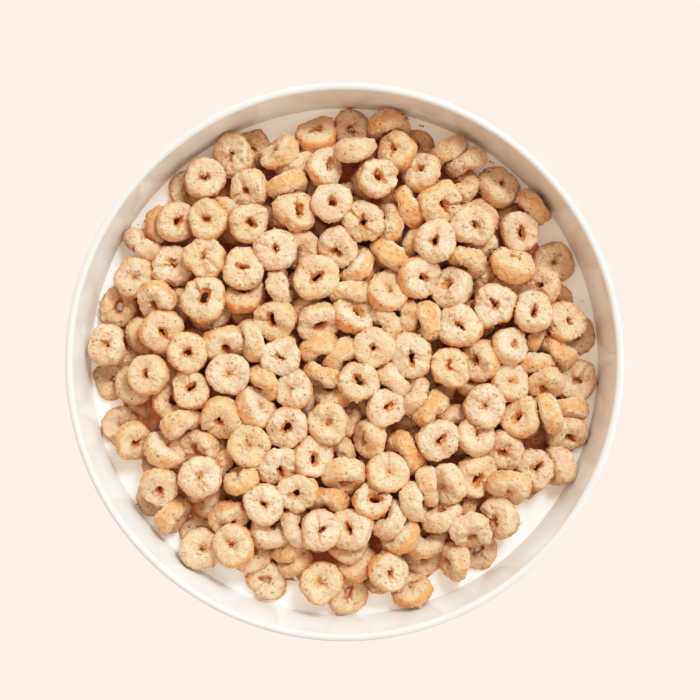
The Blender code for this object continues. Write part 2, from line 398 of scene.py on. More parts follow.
print("noise group:", UNEVENNESS.name, "with", len(UNEVENNESS.nodes), "nodes")

# %% [markdown]
# ## The bowl
#
# White porcelain under a clear glaze. The glaze is smooth but never quite even, so its gloss varies in
# soft patches and its surface waves by a few hundredths of a millimetre. Over the rim its colour is
# painted a little darker and creamier: painted shade that tones down the light on the rim's top. The
# ring that the bowl stands on is wiped clean before firing and stays matt and a little darker.

# %% Bowl
RIM_THICKNESS = 0.0024
INNER_LEAN = 0.160
OUTER_LEAN = 0.140
INNER_CORNER = 0.016
OUTER_CORNER = 0.020
FLOOR_HEIGHT = 0.006
BASE_HEIGHT = 0.003
FOOT_RADIUS = 0.050
FOOT_WIDTH = 0.0045
FOOT_RECESS = 0.002
FOOT_ROUND = 0.0008
BOWL_SIDES = 224
GLAZE = ((0.81, 0.81, 0.78), (0.84, 0.84, 0.81))
# painted shade: the glaze over the rim's top is darker and creamier, to tone down the light on it
SHADED_RIM_GLAZE = (0.755, 0.738, 0.70)
BARE_CLAY = ((0.66, 0.60, 0.52), (0.78, 0.73, 0.66))
GLAZE_STARTS = (0.0006, 0.0011)  # heights over the table
RIM_SHADE_BAND = (-0.0014, -0.0003)  # heights against the rim's
GLAZE_ROUGHNESS = (0.03, 0.07)
CLAY_ROUGHNESS = 0.75


def inside_radius(height, clearance=0.0):
    """Radius of the inside wall at a height above its corner."""
    return RIM_RADIUS - RIM_THICKNESS - INNER_LEAN * (BOWL_HEIGHT - height) - clearance


def bowl_section():
    """Half section of the bowl, from the middle of its underside round to the middle of its floor."""
    lip = RIM_THICKNESS / 2
    foot_inside = FOOT_RADIUS - FOOT_WIDTH
    inner_top = RIM_RADIUS - RIM_THICKNESS
    points = [(0, FOOT_RECESS), (foot_inside - FOOT_RECESS, FOOT_RECESS)]
    points += arc((foot_inside + FOOT_ROUND, FOOT_ROUND), FOOT_ROUND, 180, 270, 5)
    points += arc((FOOT_RADIUS - FOOT_ROUND, FOOT_ROUND), FOOT_ROUND, 270, 360, 5)
    points += [(FOOT_RADIUS, BASE_HEIGHT)]
    points += leaning_wall(RIM_RADIUS, BOWL_HEIGHT - lip, OUTER_LEAN, OUTER_CORNER, BASE_HEIGHT, steps=14)
    points += arc((RIM_RADIUS - lip, BOWL_HEIGHT - lip), lip, 0, 180, 10)
    inner_wall = leaning_wall(inner_top, BOWL_HEIGHT, INNER_LEAN, INNER_CORNER, FLOOR_HEIGHT, steps=12)
    points += reversed(inner_wall)
    points += [(0, FLOOR_HEIGHT)]
    return points


def porcelain():
    """White glaze, with bare fired clay on the foot."""
    material, tree, shader = node_material("porcelain")
    bare = ramp(tree, height_above(tree, 0.0), *GLAZE_STARTS, 1, 0)
    glaze = mixed(tree, uneven(tree, 0.035), *GLAZE)
    # painted shade over the rim's top, in a band just under its height
    rim_shade = ramp(tree, height_above(tree, BOWL_HEIGHT), *RIM_SHADE_BAND)
    glaze = mixed(tree, rim_shade, glaze, SHADED_RIM_GLAZE)
    clay = mixed(tree, uneven(tree, 0.0006, 3), *BARE_CLAY)
    tree.links.new(mixed(tree, bare, glaze, clay), shader.inputs["Base Color"])
    gloss = ramp(tree, uneven(tree, 0.018), 0, 1, *GLAZE_ROUGHNESS)
    rough = combined(tree, "MAXIMUM", gloss, times(tree, bare, CLAY_ROUGHNESS))
    tree.links.new(rough, shader.inputs["Roughness"])
    shader.inputs["IOR"].default_value = 1.5
    shader.inputs["Specular IOR Level"].default_value = 0.5
    bumped(tree, shader, uneven(tree, 0.009, 1), depth=0.00004)
    return material


bowl = object_from("bowl_glazed", turned(bowl_section(), BOWL_SIDES), porcelain())
stand_in(bowl, "bowl")

# %% [markdown]
# ## Where the rings lie
#
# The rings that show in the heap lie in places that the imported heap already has. Nothing is read from
# its mesh: the same rule is followed again, with the same seed. Three layers of a sunflower spiral are
# shaken up, and then the rings sink and push each other away until none crosses another.

# %% Scattering and settling the rings
RING_RADIUS = 0.0065
HOLE_RADIUS = 0.0013
RING_THICKNESS = 0.0066
HEAP_RADIUS = 0.0765
BAYS = ((50, 0.002, 8), (98, 0.005, 9), (117, 0.004, 7), (281, 0.007, 14), (316, 0.004, 8))
SEED = 7
RING_PITCH = 0.0112
LAYERS = ((0.005, 0.0008), (0.006, 0.0055), (0.016, 0.0095))
GOLDEN_ANGLE = math.pi * (3 - math.sqrt(5))
LAYER_TWIST = 2.1
SHAKE = 0.0022
TILTS = ((0, 25), (25, 60), (60, 90))
TILT_SHARES = (0.25, 0.6, 0.15)
SIZE_SPREAD = 0.04
SIZE_LIMITS = (0.9, 1.1)
BALLS = 6
BALL_RADIUS = 0.0029
BALL_CIRCLE = RING_RADIUS - BALL_RADIUS
SETTLE_STEPS = 110
SINKING_STEPS = 88
FALL = 0.00014
FLOAT_DEPTH = 0.0022
HEAP_HEIGHT = 0.0155
WALL_CLEARANCE = 0.0008
NEIGHBOUR_REACH = 0.0150
NEIGHBOUR_STEPS = 8
EASE_SHIFT = 1.5
EASE_TURN = 0.8


def heap_outline(angle):
    """How far the heap reaches from the middle in one direction."""
    reach = HEAP_RADIUS
    for direction, depth, half_width in BAYS:
        off = (math.degrees(angle) - direction + 180) % 360 - 180
        reach -= depth * math.exp(-((off / half_width) ** 2))
    return reach


def scattered_rings(rng):
    """First places, turns and sizes of the rings."""
    places, turns = [], []
    for layer, (inset, lift) in enumerate(LAYERS):
        count = round(math.pi * (HEAP_RADIUS - inset) ** 2 / RING_PITCH**2)
        for i in range(count):
            angle = i * GOLDEN_ANGLE + layer * LAYER_TWIST
            reach = (heap_outline(angle) - inset) * math.sqrt((i + 0.5) / count)
            x, y = rng.normal(0, SHAKE, 2) + (reach * math.cos(angle), reach * math.sin(angle))
            places.append((x, y, MILK_HEIGHT + lift))
            tilt = rng.choice([rng.uniform(low, high) for low, high in TILTS], p=TILT_SHARES)
            lean = Matrix.Rotation(math.radians(tilt), 3, "X")
            spin = Matrix.Rotation(rng.uniform(0, 2 * math.pi), 3, "Z")
            turns.append(np.array(spin @ lean))
    sizes = rng.normal(1, SIZE_SPREAD, len(places)).clip(*SIZE_LIMITS)
    return np.array(places), np.array(turns), sizes


def arms(count, turns, sizes):
    """Points round the middle line of every ring, as seen from its own middle."""
    angles = np.arange(count) * 2 * math.pi / count
    circle = BALL_CIRCLE * np.stack([np.cos(angles), np.sin(angles), 0 * angles], axis=1)
    return np.einsum("nij,kj->nki", turns, circle) * sizes[:, None, None]


def turn_by(turns, vectors):
    """Each rotation matrix turned further by its small rotation vector."""
    angle = np.linalg.norm(vectors, axis=1)
    x, y, z = (vectors / np.maximum(angle, 1e-12)[:, None]).T
    zero = np.zeros_like(x)
    cross = np.array([[zero, -z, y], [z, zero, -x], [-y, x, zero]]).transpose(2, 0, 1)
    sine, cosine = np.sin(angle)[:, None, None], np.cos(angle)[:, None, None]
    return (np.eye(3) + sine * cross + (1 - cosine) * (cross @ cross)) @ turns


def pushed_apart(balls, radii, first, second):
    """How far each ball has to move so that neighbouring rings no longer cross."""
    shift, touches = np.zeros_like(balls), np.zeros(balls.shape[:2])
    between = balls[first][:, :, None] - balls[second][:, None]
    distance = np.linalg.norm(between, axis=3)
    overlap = (radii[first] + radii[second])[:, None, None] - distance
    push = np.where(overlap > 0, overlap / 2, 0)[..., None] * between / distance[..., None]
    np.add.at(shift, first, push.sum(2))
    np.add.at(shift, second, -push.sum(1))
    np.add.at(touches, first, (overlap > 0).sum(2))
    np.add.at(touches, second, (overlap > 0).sum(1))
    return shift / np.maximum(touches, 1)[..., None]


def settled_rings(places, turns, sizes):
    """Lets the rings sink on to the milk, pushes them apart and keeps them in from the wall."""
    radii = BALL_RADIUS * sizes
    for step in range(SETTLE_STEPS):
        places[:, 2] -= FALL * max(0, 1 - step / SINKING_STEPS)
        if step % NEIGHBOUR_STEPS == 0:
            apart = np.linalg.norm(places[:, None] - places[None], axis=2)
            first, second = np.nonzero(np.triu(apart < NEIGHBOUR_REACH, 1))
        reach = arms(BALLS, turns, sizes)
        balls = places[:, None] + reach
        shift = pushed_apart(balls, radii, first, second)
        above_milk = balls[..., 2] - MILK_HEIGHT
        too_low = radii[:, None] - FLOAT_DEPTH - above_milk
        too_high = radii[:, None] - HEAP_HEIGHT + above_milk
        shift[..., 2] += np.maximum(too_low, 0) - np.maximum(too_high, 0)
        out = np.hypot(balls[..., 0], balls[..., 1])
        too_far = out + radii[:, None] - inside_radius(balls[..., 2], WALL_CLEARANCE)
        shift[..., :2] -= balls[..., :2] * (np.maximum(too_far, 0) / out)[..., None]
        places += shift.mean(1) * EASE_SHIFT
        turning = np.cross(reach, shift).sum(1) / (BALLS * (BALL_CIRCLE * sizes[:, None]) ** 2)
        turns = turn_by(turns, turning * EASE_TURN)
    return places, turns


places, turns, sizes = scattered_rings(np.random.default_rng(SEED))
places, turns = settled_rings(places, turns, sizes)
print(len(places), "rings, up to", round((places[:, 2].max() - MILK_HEIGHT) * 1000, 1), "mm above the milk")

# %% [markdown]
# ## How much of each ring shows
#
# A ring on top of the heap needs a fine mesh, and one underneath can be coarse. Points round the middle
# line of each ring are tested for other rings above them, which gives the share that is covered.

# %% Covered shares
PROBES = 12
MOSTLY_SHOWS = 0.6  # with less than this covered
HIDDEN = 0.95


def covered_shares(places, turns, sizes):
    """For each ring the share of it that other rings cover, seen from above."""
    points = (places[:, None] + arms(PROBES, turns, sizes)).reshape(-1, 3)
    ring = np.repeat(np.arange(len(places)), PROBES)
    beside = np.linalg.norm(points[:, None, :2] - points[None, :, :2], axis=2) < BALL_RADIUS
    higher = points[None, :, 2] > points[:, None, 2] + BALL_RADIUS
    covered = (beside & higher & (ring[:, None] != ring[None])).any(1)
    return covered.reshape(-1, PROBES).mean(1)


covered = covered_shares(places, turns, sizes)
print((covered < MOSTLY_SHOWS).sum(), "rings mostly show and", (covered >= HIDDEN).sum(), "are hidden")

# %% [markdown]
# ## One ring of dough
#
# A real ring is a short tube of dough that was cut off and puffed in the oven. None is quite round. Its
# hole has shrunk to a slit, a drop or a dimple, and one side has swollen more than the other. So each
# ring starts from the same turned form, whose points know only how far round the ring and how far round
# its section they lie, and is then drawn with its own outline, hole and thickness.

# %% The turned form


def corners_and_faces(form):
    """Corners and faces of a bmesh as arrays; the bmesh is freed."""
    corners = np.array([corner.co for corner in form.verts])
    faces = np.array([[corner.index for corner in face.verts] for face in form.faces])
    form.free()
    return corners, faces


def turned_ring(round_steps, section_steps):
    """Angles round the ring and round its section for each corner of a turned ring, and its faces."""
    middle_line = 2  # times the radius of the section, which is 1
    form = bmesh.new()
    section = bmesh.ops.create_circle(form, segments=section_steps, radius=1)["verts"]
    bmesh.ops.rotate(form, verts=section, matrix=Matrix.Rotation(-math.pi / 2, 3, "X"))
    bmesh.ops.translate(form, verts=section, vec=(middle_line, 0, 0))
    spin_round(form, round_steps)
    corners, faces = corners_and_faces(form)
    around = np.arctan2(corners[:, 1], corners[:, 0])
    section = np.arctan2(corners[:, 2], np.hypot(corners[:, 0], corners[:, 1]) - middle_line)
    return around, section, faces


# %% The uneven ring
OUTLINE_WAVES = (0, 0.9, 0.7, 0.4, 0.3)  # times the kind's wobble
HOLE_WAVES = (0, 0.06, 0.08, 0.06, 0.05)
THICKNESS_WAVES = (0.08, 0.14, 0.06)
HOLE_SIZES = (0.65, 1.2)
FULLNESS_ACROSS = (0.72, 0.9)  # of the outer half of the section
FULLNESS_UP = (0.70, 0.85)
SMALLEST_HOLE = 0.00015
SEAM_WIDTH = 0.008
SEAM_NOTCH = 0.12
DROP_WAVES = (0.6, 0.4)  # once and three times round the hole, which together narrow one end
WEB_SLOPE, WEB_CURVE = 0.35, 0.7  # how gently the dough inside the hole sets in
FOLDS = (4, 8)
BENDS = (0.2, 1)  # times the kind's bend
FLANK_STARTS, FLANK_WIDTH = 0.5, 0.45  # cosines round the section
TOASTED_AND_SHADED_OUTSIDE = (0.3, 0.9)  # against the inside of the hole


def wave(rng, angles, amounts):
    """A smooth random line round a ring: one cosine for each amount, each with its own start."""
    return sum(a * np.cos((k + 1) * angles + rng.uniform(0, 2 * math.pi)) for k, a in enumerate(amounts))


def rounded(value, power):
    """A sine or cosine made fuller (power under 1) or sharper (over 1), with its sign kept."""
    return np.sign(value) * np.abs(value) ** power


def uneven_ring(rng, kind, around, section):
    """Corners of one ring of a kind, lying flat round the origin, and how toasted each is, partly as
    painted shade.
    """
    wobble = kind["wobble"]
    outer = RING_RADIUS * (1 + wave(rng, around, [share * wobble for share in OUTLINE_WAVES]))
    turn = rng.uniform(0, 2 * math.pi)
    long, short = 1 + kind["slit"], 1 - kind["slit"]
    slit = long * short / np.hypot(short * np.cos(around - turn), long * np.sin(around - turn))
    once, thrice = DROP_WAVES
    slit *= 1 + kind["drop"] * (once * np.cos(around - turn) + thrice * np.cos(3 * (around - turn)))
    off_centre = rng.uniform(0, kind["off_centre"]) * np.cos(around - rng.uniform(0, 2 * math.pi))
    ragged = 1 + wave(rng, around, HOLE_WAVES)
    inner = HOLE_RADIUS * kind["hole"] * rng.uniform(*HOLE_SIZES) * slit * ragged + off_centre
    inner = inner.clip(SMALLEST_HOLE)
    thick = RING_THICKNESS / 2 * kind["thick"] * (1 + wave(rng, around, THICKNESS_WAVES))
    beside_seam = (np.cos(around - turn - 1) - 1) / SEAM_WIDTH
    seam = kind["seam"] * rng.uniform(0, 1) ** 2 * np.exp(-(beside_seam**2))
    outer *= 1 - SEAM_NOTCH * seam
    thick *= 1 - seam
    cosine, sine = np.cos(section), np.sin(section)
    in_hole = cosine < 0
    across = rounded(cosine, np.where(in_hole, kind["brink"], rng.uniform(*FULLNESS_ACROSS)))
    height = thick * rounded(sine, np.where(in_hole, kind["brink"], rng.uniform(*FULLNESS_UP)))
    radius = (outer + inner) / 2 + (outer - inner) / 2 * across
    depth_in_hole = ((kind["web_top"] - np.abs(height) / thick) / WEB_SLOPE).clip(0, 1) ** WEB_CURVE
    radius -= np.where(in_hole, kind["web"] * inner * depth_in_hole, 0)
    folds = np.cos(rng.integers(*FOLDS) * around + rng.uniform(0, 6)) ** 2
    height *= 1 - np.where(in_hole, kind["pucker"] * folds * across**2, 0)
    x, y = radius * np.cos(around), radius * np.sin(around)
    way = rng.uniform(0, 2 * math.pi)
    saddle = np.cos(2 * (around - way)) * (radius / RING_RADIUS) ** 2
    height = height + kind["bend"] * rng.uniform(*BENDS) * saddle
    # painted shade, partly: the flanks and the inside of the hole are marked for oven brown, which also
    # stands in for their shade
    flank = ((np.abs(cosine) - FLANK_STARTS) / FLANK_WIDTH).clip(0, 1)
    toasted_and_shaded = np.where(in_hole, flank, flank * rng.uniform(*TOASTED_AND_SHADED_OUTSIDE))
    return np.stack([x, y, height], axis=1), toasted_and_shaded


# %% [markdown]
# ## Kinds of ring
#
# The photograph shows plump round rings, rings whose hole has closed to a slit or to a drop, rings with
# only a dimple, and rough bent ones. Each kind is one piece: all its rings are stacked into arrays and
# written as a single mesh. Further down, three Displace modifiers give it lumps a few millimetres
# across, crumbly pits and grit, and are applied, so that the relief is real.

# %% Ring kinds
PLAIN = {
    "hole": 1.1,  # times the hole's radius
    "slit": 0.2,  # how much longer than wide the hole is
    "drop": 0.1,  # how much the hole narrows to one end
    "web": 0.5,  # share of the hole that dough fills deep inside
    "web_top": 0.5,  # how high up that dough reaches, as a share of the ring's half thickness
    "brink": 0.5,  # roundness of the edge round the hole
    "pucker": 0.05,  # depth of the folds that run into the hole
    "seam": 0.25,  # depth of the cut across the ring, at most
    "off_centre": 0.0005,
    "thick": 0.91,
    "wobble": 0.034,  # unevenness of the outline
    "bend": 0.0003,
    "lumps": 0.0012,
    "crumbs": 0.00055,
}
SLIT = {"slit": 0.4, "drop": 0.2, "web": 0.6, "wobble": 0.042}
DROP = {"hole": 1.2, "slit": 0.25, "drop": 0.4, "seam": 0.5, "wobble": 0.048}
DIMPLED = {"hole": 0.8, "slit": 0.45, "web": 0.9, "web_top": 0.8, "brink": 0.7, "pucker": 0.15}
ROUGH = {"slit": 0.35, "drop": 0.35, "web": 0.6, "bend": 0.0006, "wobble": 0.06, "seam": 0.6}
ROUGH |= {"lumps": 0.0018, "crumbs": 0.0009}
KINDS = {
    "rings_round": PLAIN,
    "rings_slit": PLAIN | SLIT,
    "rings_drop": PLAIN | DROP,
    "rings_dimpled": PLAIN | DIMPLED,
    "rings_rough": PLAIN | ROUGH,
}
print(len(KINDS), "kinds of ring")

# %% Many small things as one mesh


def set_values(mesh, label, values):
    """Keeps one number for each corner of a mesh, which the cereal's material reads by its label."""
    mesh.attributes.new(label, "FLOAT", "POINT").data.foreach_set("value", values.astype(np.float32))


def stacked(name, parts):
    """One mesh from many parts, with how toasted and how soaked each corner is, both partly painted shade,
    and the tone of its part.
    """
    corners = np.concatenate([part["corners"] for part in parts])
    starts = np.cumsum([0] + [len(part["corners"]) for part in parts[:-1]])
    faces = np.concatenate([part["faces"] + start for part, start in zip(parts, starts)])
    mesh = bpy.data.meshes.new(name)
    mesh.from_pydata(corners, [], faces)
    for label in ("toasted_and_shaded", "soaked_and_shaded", "tone"):
        values = [np.full(len(part["corners"]), part[label]) for part in parts]
        set_values(mesh, label, np.concatenate(values))
    return mesh


def displace(piece, name, size, depth, kind="CLOUDS"):
    """Adds a Displace modifier that raises lumps of a size by a depth, both in metres."""
    texture = bpy.data.textures.new(name, kind)
    texture.noise_scale = size
    lumps = piece.modifiers.new(name, "DISPLACE")
    lumps.texture = texture
    lumps.strength = depth
    lumps.mid_level = 0.5


def apply_modifiers(piece):
    """Leaves a piece with the mesh that its modifiers make, and without them."""
    evaluated = piece.evaluated_get(bpy.context.evaluated_depsgraph_get())
    mesh = bpy.data.meshes.new_from_object(evaluated)
    piece.modifiers.clear()
    piece.data = mesh


# %% Dealing out the kinds
SINK_WHEN_COVERED = 0.0036
LIFT_AT_MOST = 0.0014
FINE, MIDDLING, COARSE = (62, 30), (40, 22), (20, 12)  # steps round the ring and round its section
# painted shade, partly: rings that others cover are marked darker by this much
SOAKED_AND_SHADED_WHEN_COVERED = 0.75

forms = {steps: turned_ring(*steps) for steps in (FINE, MIDDLING, COARSE)}
rng = np.random.default_rng(SEED + 1)
names = list(KINDS)
dealt = np.concatenate([rng.permutation(len(names)) for _ in range(0, len(places), len(names))])
kind_of = np.empty(len(places), int)
kind_of[np.argsort(covered, kind="stable")] = dealt[: len(places)]
parts = {name: [] for name in names}
for place, turn, size, share, kind in zip(places, turns, sizes, covered, kind_of):
    name = names[kind]
    place = place + (0, 0, rng.uniform(0, LIFT_AT_MOST) - SINK_WHEN_COVERED * share)
    around, section, faces = forms[FINE if share < MOSTLY_SHOWS else MIDDLING if share < HIDDEN else COARSE]
    corners, toasted_and_shaded = uneven_ring(rng, KINDS[name], around, section)
    corners = corners * size @ turn.T
    # painted shade, partly: low corners of a ring, and covered rings, are marked as soaked, darker deep in
    # the heap
    soaked_and_shaded = (SOAKED_AND_SHADED_WHEN_COVERED * share - corners[:, 2] / RING_THICKNESS).clip(0, 1)
    part = {"corners": corners + place, "faces": faces, "toasted_and_shaded": toasted_and_shaded, "soaked_and_shaded": soaked_and_shaded}
    parts[name].append(part | {"tone": rng.uniform()})
print({name: len(rings) for name, rings in parts.items()})

# %% [markdown]
# ## Cereal
#
# Up close the dough is peach and cream with pinker and browner patches, dusted with dark specks of
# spice. It is golden brown on the sides and inside the hole, partly where the oven reached it and partly
# as painted shade on the flanks and in the hole. Low sides of the rings, and rings that others cover, are
# painted a dark red-brown, partly soaked with milk and partly painted shade deep in the heap. The specks
# are cells of a Voronoi texture: a cell shows one only if it was picked, and only near its middle. They
# crowd together in some places, where the spice fell thicker. A band just above the milk is wet,
# darker and shinier.

# %% Specks of spice
SPECK_CROWDS = 0.0026  # how far apart the spice lies thicker
CROWDING = (-0.62, 0.55)  # change of the share of cells with a speck, from thin to thick places
SPECK_REACH = (0.13, 0.20)  # smallest speck in a cell, and how much larger others are
SPECK_EDGE = (-0.10, 0.12)  # from outside to inside, so that a speck fades out
SPECK_STRENGTH = (0.45, 0.55)  # faintest speck, and how much stronger others are


def speckle_group():
    """Small dark specks, more of them where a second, larger noise is high."""
    group, given, result = new_group("speckles", {"Size": 0.0012, "Share": 0.5}, "Mask")
    place = group.nodes.new("ShaderNodeTexCoord").outputs["Object"]
    scale = combined(group, "DIVIDE", 1.0, given.outputs["Size"])
    cells = group.nodes.new("ShaderNodeTexVoronoi")
    feed(group, cells, {"Vector": place, "Scale": scale})
    draw = group.nodes.new("ShaderNodeSeparateColor")
    feed(group, draw, {0: cells.outputs["Color"]})
    crowd = ramp(group, uneven(group, SPECK_CROWDS, 1, 0.4), 0.1, 0.9, *CROWDING)
    share = combined(group, "ADD", given.outputs["Share"], crowd)
    picked = combined(group, "LESS_THAN", draw.outputs["Red"], share)
    smallest, spread = SPECK_REACH
    reach = combined(group, "ADD", times(group, draw.outputs["Green"], spread), smallest)
    near = ramp(group, combined(group, "SUBTRACT", reach, cells.outputs["Distance"]), *SPECK_EDGE)
    faintest, spread = SPECK_STRENGTH
    strength = combined(group, "ADD", times(group, draw.outputs["Blue"], spread), faintest)
    feed(group, result, {"Mask": times(group, times(group, near, picked), strength)})
    return group


SPECKLES = speckle_group()


def specks(tree, size, share):
    """The speckle group in a tree, with its own size and share of cells; gives back its output."""
    return placed(tree, SPECKLES, Size=size, Share=share)


print("speckle group:", SPECKLES.name, "with", len(SPECKLES.nodes), "nodes")

# %% Cereal material
CREAM = ((0.82, 0.56, 0.35), (0.865, 0.71, 0.515))
# every further colour comes with the most of it that is mixed in
GOLDEN, GOLDEN_SHARE = (0.79, 0.475, 0.215), 0.45
DUSTED, DUSTED_SHARE = (0.755, 0.48, 0.33), 0.65
# painted shade, partly: this oven brown also darkens the flanks and hole insides where shade falls
OVEN_BROWN_AND_SHADE, BROWN_AND_SHADE_SHARE = (0.77, 0.315, 0.085), 0.85
# painted shade, partly: this dark red-brown of soaked dough also stands in for shade deep in the heap
SOAKED_AND_SHADED, SOAKED_AND_SHADED_SHARE = (0.75, 0.215, 0.04), 0.92
MOTTLED, MOTTLED_SHARE = (0.82, 0.475, 0.29), 0.35
GRAINY, GRAINY_SHARE = (0.66, 0.375, 0.22), 0.25
SPICE, SPICE_SHARE = (0.30, 0.185, 0.115), 0.85
WET, WET_SHARE = (0.55, 0.31, 0.14), 0.35
WET_BAND = (0.0006, 0.0019)  # heights over the milk
DRY_ROUGHNESS, WET_ROUGHNESS = 0.78, 0.35
GRAIN_DEPTH = 0.00036


def attribute(tree, name):
    """One of the mesh's own values."""
    node = tree.nodes.new("ShaderNodeAttribute")
    node.attribute_name = name
    return node.outputs["Fac"]


def cereal():
    """Puffed, speckled dough, browned on the flanks and in the hole and darkened low in the heap, partly as
    painted shade, and wet by the milk.
    """
    material, tree, shader = node_material("cereal")
    colour = mixed(tree, uneven(tree, 0.0042, 2, 0.45), *CREAM)
    golden = ramp(tree, attribute(tree, "tone"), 0.2, 1.0, 0.0, GOLDEN_SHARE)
    colour = mixed(tree, golden, colour, GOLDEN)
    dusty = ramp(tree, uneven(tree, 0.0058, 1, 0.4), 0.45, 1.0)
    colour = mixed(tree, times(tree, dusty, DUSTED_SHARE), colour, DUSTED)
    # painted shade, partly: browning on the flanks and in the holes, from the mesh's mark plus noise
    oven = ramp(tree, uneven(tree, 0.002, 2, 0.5), 0, 1, -0.35, 0.15)
    toasted_and_shaded = combined(tree, "ADD", attribute(tree, "toasted_and_shaded"), oven)
    browned_and_shaded = ramp(tree, toasted_and_shaded, 0.05, 1.0, 0, BROWN_AND_SHADE_SHARE)
    colour = mixed(tree, browned_and_shaded, colour, OVEN_BROWN_AND_SHADE)
    # painted shade, partly: soaked dough, darker on low sides and covered rings
    colour = mixed(tree, times(tree, attribute(tree, "soaked_and_shaded"), SOAKED_AND_SHADED_SHARE), colour, SOAKED_AND_SHADED)
    mottling = ramp(tree, uneven(tree, 0.0016, 2, 0.4), 0.3, 1, 0, MOTTLED_SHARE)
    colour = mixed(tree, mottling, colour, MOTTLED)
    fine = ramp(tree, uneven(tree, 0.0006, 2, 0.45), 0.2, 1, 0, GRAINY_SHARE)
    colour = mixed(tree, fine, colour, GRAINY)
    spice = combined(tree, "MAXIMUM", specks(tree, 0.00085, 0.8), specks(tree, 0.0016, 0.5))
    colour = mixed(tree, times(tree, spice, SPICE_SHARE), colour, SPICE)
    wet = ramp(tree, height_above(tree, MILK_HEIGHT), *WET_BAND, 1, 0)
    colour = mixed(tree, times(tree, wet, WET_SHARE), colour, WET)
    tree.links.new(colour, shader.inputs["Base Color"])
    tree.links.new(ramp(tree, wet, 0, 1, DRY_ROUGHNESS, WET_ROUGHNESS), shader.inputs["Roughness"])
    shader.inputs["Specular IOR Level"].default_value = 0.3
    shader.inputs["Subsurface Weight"].default_value = 0.3
    shader.inputs["Subsurface Radius"].default_value = (0.0022, 0.0009, 0.0004)
    shader.inputs["Subsurface Scale"].default_value = 1
    fine_grain = times(tree, uneven(tree, 0.0005, 1, 0.5), 0.35)
    grain = combined(tree, "ADD", uneven(tree, 0.0015, 3, 0.5), fine_grain)
    bumped(tree, shader, grain, depth=GRAIN_DEPTH)
    return material


dough = cereal()
print("cereal material with", len(dough.node_tree.nodes), "nodes")

# %% The rings themselves
LUMP_SIZE = 0.0042
CRUMBLE_SIZE = 0.0016
GRIT_SIZE, GRIT_DEPTH = 0.0009, 0.00052

pieces = {}
for name, rings in parts.items():
    piece = object_of(name, stacked(name, rings), dough)
    displace(piece, "puffed_" + name, LUMP_SIZE, KINDS[name]["lumps"])
    displace(piece, "crumbly_" + name, CRUMBLE_SIZE, -KINDS[name]["crumbs"], "VORONOI")
    displace(piece, "gritty_" + name, GRIT_SIZE, GRIT_DEPTH)
    apply_modifiers(piece)
    stand_in(piece, "cereal_heap")
    pieces[name] = piece

# %% [markdown]
# ## Crumbs that stick to the rings
#
# The dough is crumbly: broken grains cling to every ring, thick on some and thin on others, and make
# its outline rough. There are thousands of them, so each is the plainest lump there is, a sphere of only
# eight faces. Copies of it are stretched, turned and set on corners of the finished rings that face up,
# all with array arithmetic, and written as one mesh.

# %% Clinging crumbs
CLINGING = 6000
CLINGING_SIZES = (0.00018, 0.00060)
BARE_TO_THICK = 3.0  # how unevenly the crumbs are shared out
PATCH_WAVES, WAVE_DENSITY = 5, 900  # waves that share them out, and radians a metre
STRETCHES = (0.6, 1.3)
FACES_UP = 0.05  # height of the normal from which a crumb can lie there
PERCHED = 0.2  # share of a crumb's radius that its middle stands off the dough


def random_turns(rng, count):
    """Rotation matrices drawn evenly from all directions."""
    turns = np.linalg.qr(rng.normal(size=(count, 3, 3)))[0]
    return turns * np.sign(np.linalg.det(turns))[:, None, None]


def corners_and_normals(mesh):
    """Places and normals of a mesh's corners as arrays."""
    places, normals = np.empty(3 * len(mesh.vertices)), np.empty(3 * len(mesh.vertices))
    mesh.vertices.foreach_get("co", places)
    mesh.vertices.foreach_get("normal", normals)
    return places.reshape(-1, 3), normals.reshape(-1, 3)


form = bmesh.new()
bmesh.ops.create_uvsphere(form, u_segments=4, v_segments=2, radius=1)
lump, lump_faces = corners_and_faces(form)
skins = [corners_and_normals(piece.data) for piece in pieces.values()]
spots, normals = (np.concatenate(arrays) for arrays in zip(*skins))
waves = spots @ rng.normal(0, WAVE_DENSITY, (3, PATCH_WAVES)) + rng.uniform(0, 6, PATCH_WAVES)
patch = np.sin(waves).sum(1) / 2
likely = np.where(normals[:, 2] > FACES_UP, np.exp(BARE_TO_THICK * patch / 2), 0)
chosen = rng.choice(len(spots), CLINGING, replace=False, p=likely / likely.sum())
grain_sizes = rng.uniform(0, 1, CLINGING) ** 2 * np.ptp(CLINGING_SIZES) + CLINGING_SIZES[0]
stretches = rng.uniform(*STRETCHES, (CLINGING, 1, 3)) * grain_sizes[:, None, None]
grains = np.einsum("nij,nkj->nki", random_turns(rng, CLINGING), lump * stretches)
grains += (spots[chosen] + normals[chosen] * grain_sizes[:, None] * PERCHED)[:, None]
browns = rng.uniform(0, 1, CLINGING) ** 2
tones = rng.uniform(0, 1, CLINGING)
crumbs = [
    {"corners": grain, "faces": lump_faces, "toasted_and_shaded": brown, "soaked_and_shaded": 0, "tone": tone}
    for grain, brown, tone in zip(grains, browns, tones)
]
clinging = object_of("crumbs_clinging", stacked("crumbs_clinging", crumbs), dough)
stand_in(clinging, "cereal_heap")

# %% [markdown]
# ## What lies under the rings
#
# Between the rings the eye falls on more cereal: broken pieces that have gone soft in the milk. Hardly
# any of it can be told apart, so it is one lumpy bed of dough, a turned disc drawn out to the outline
# of the heap and raised by a Displace modifier. It is painted dark red-brown, partly as soaked dough and
# partly as painted shade deep in the heap. A few crumbs lie loose on the milk round it.

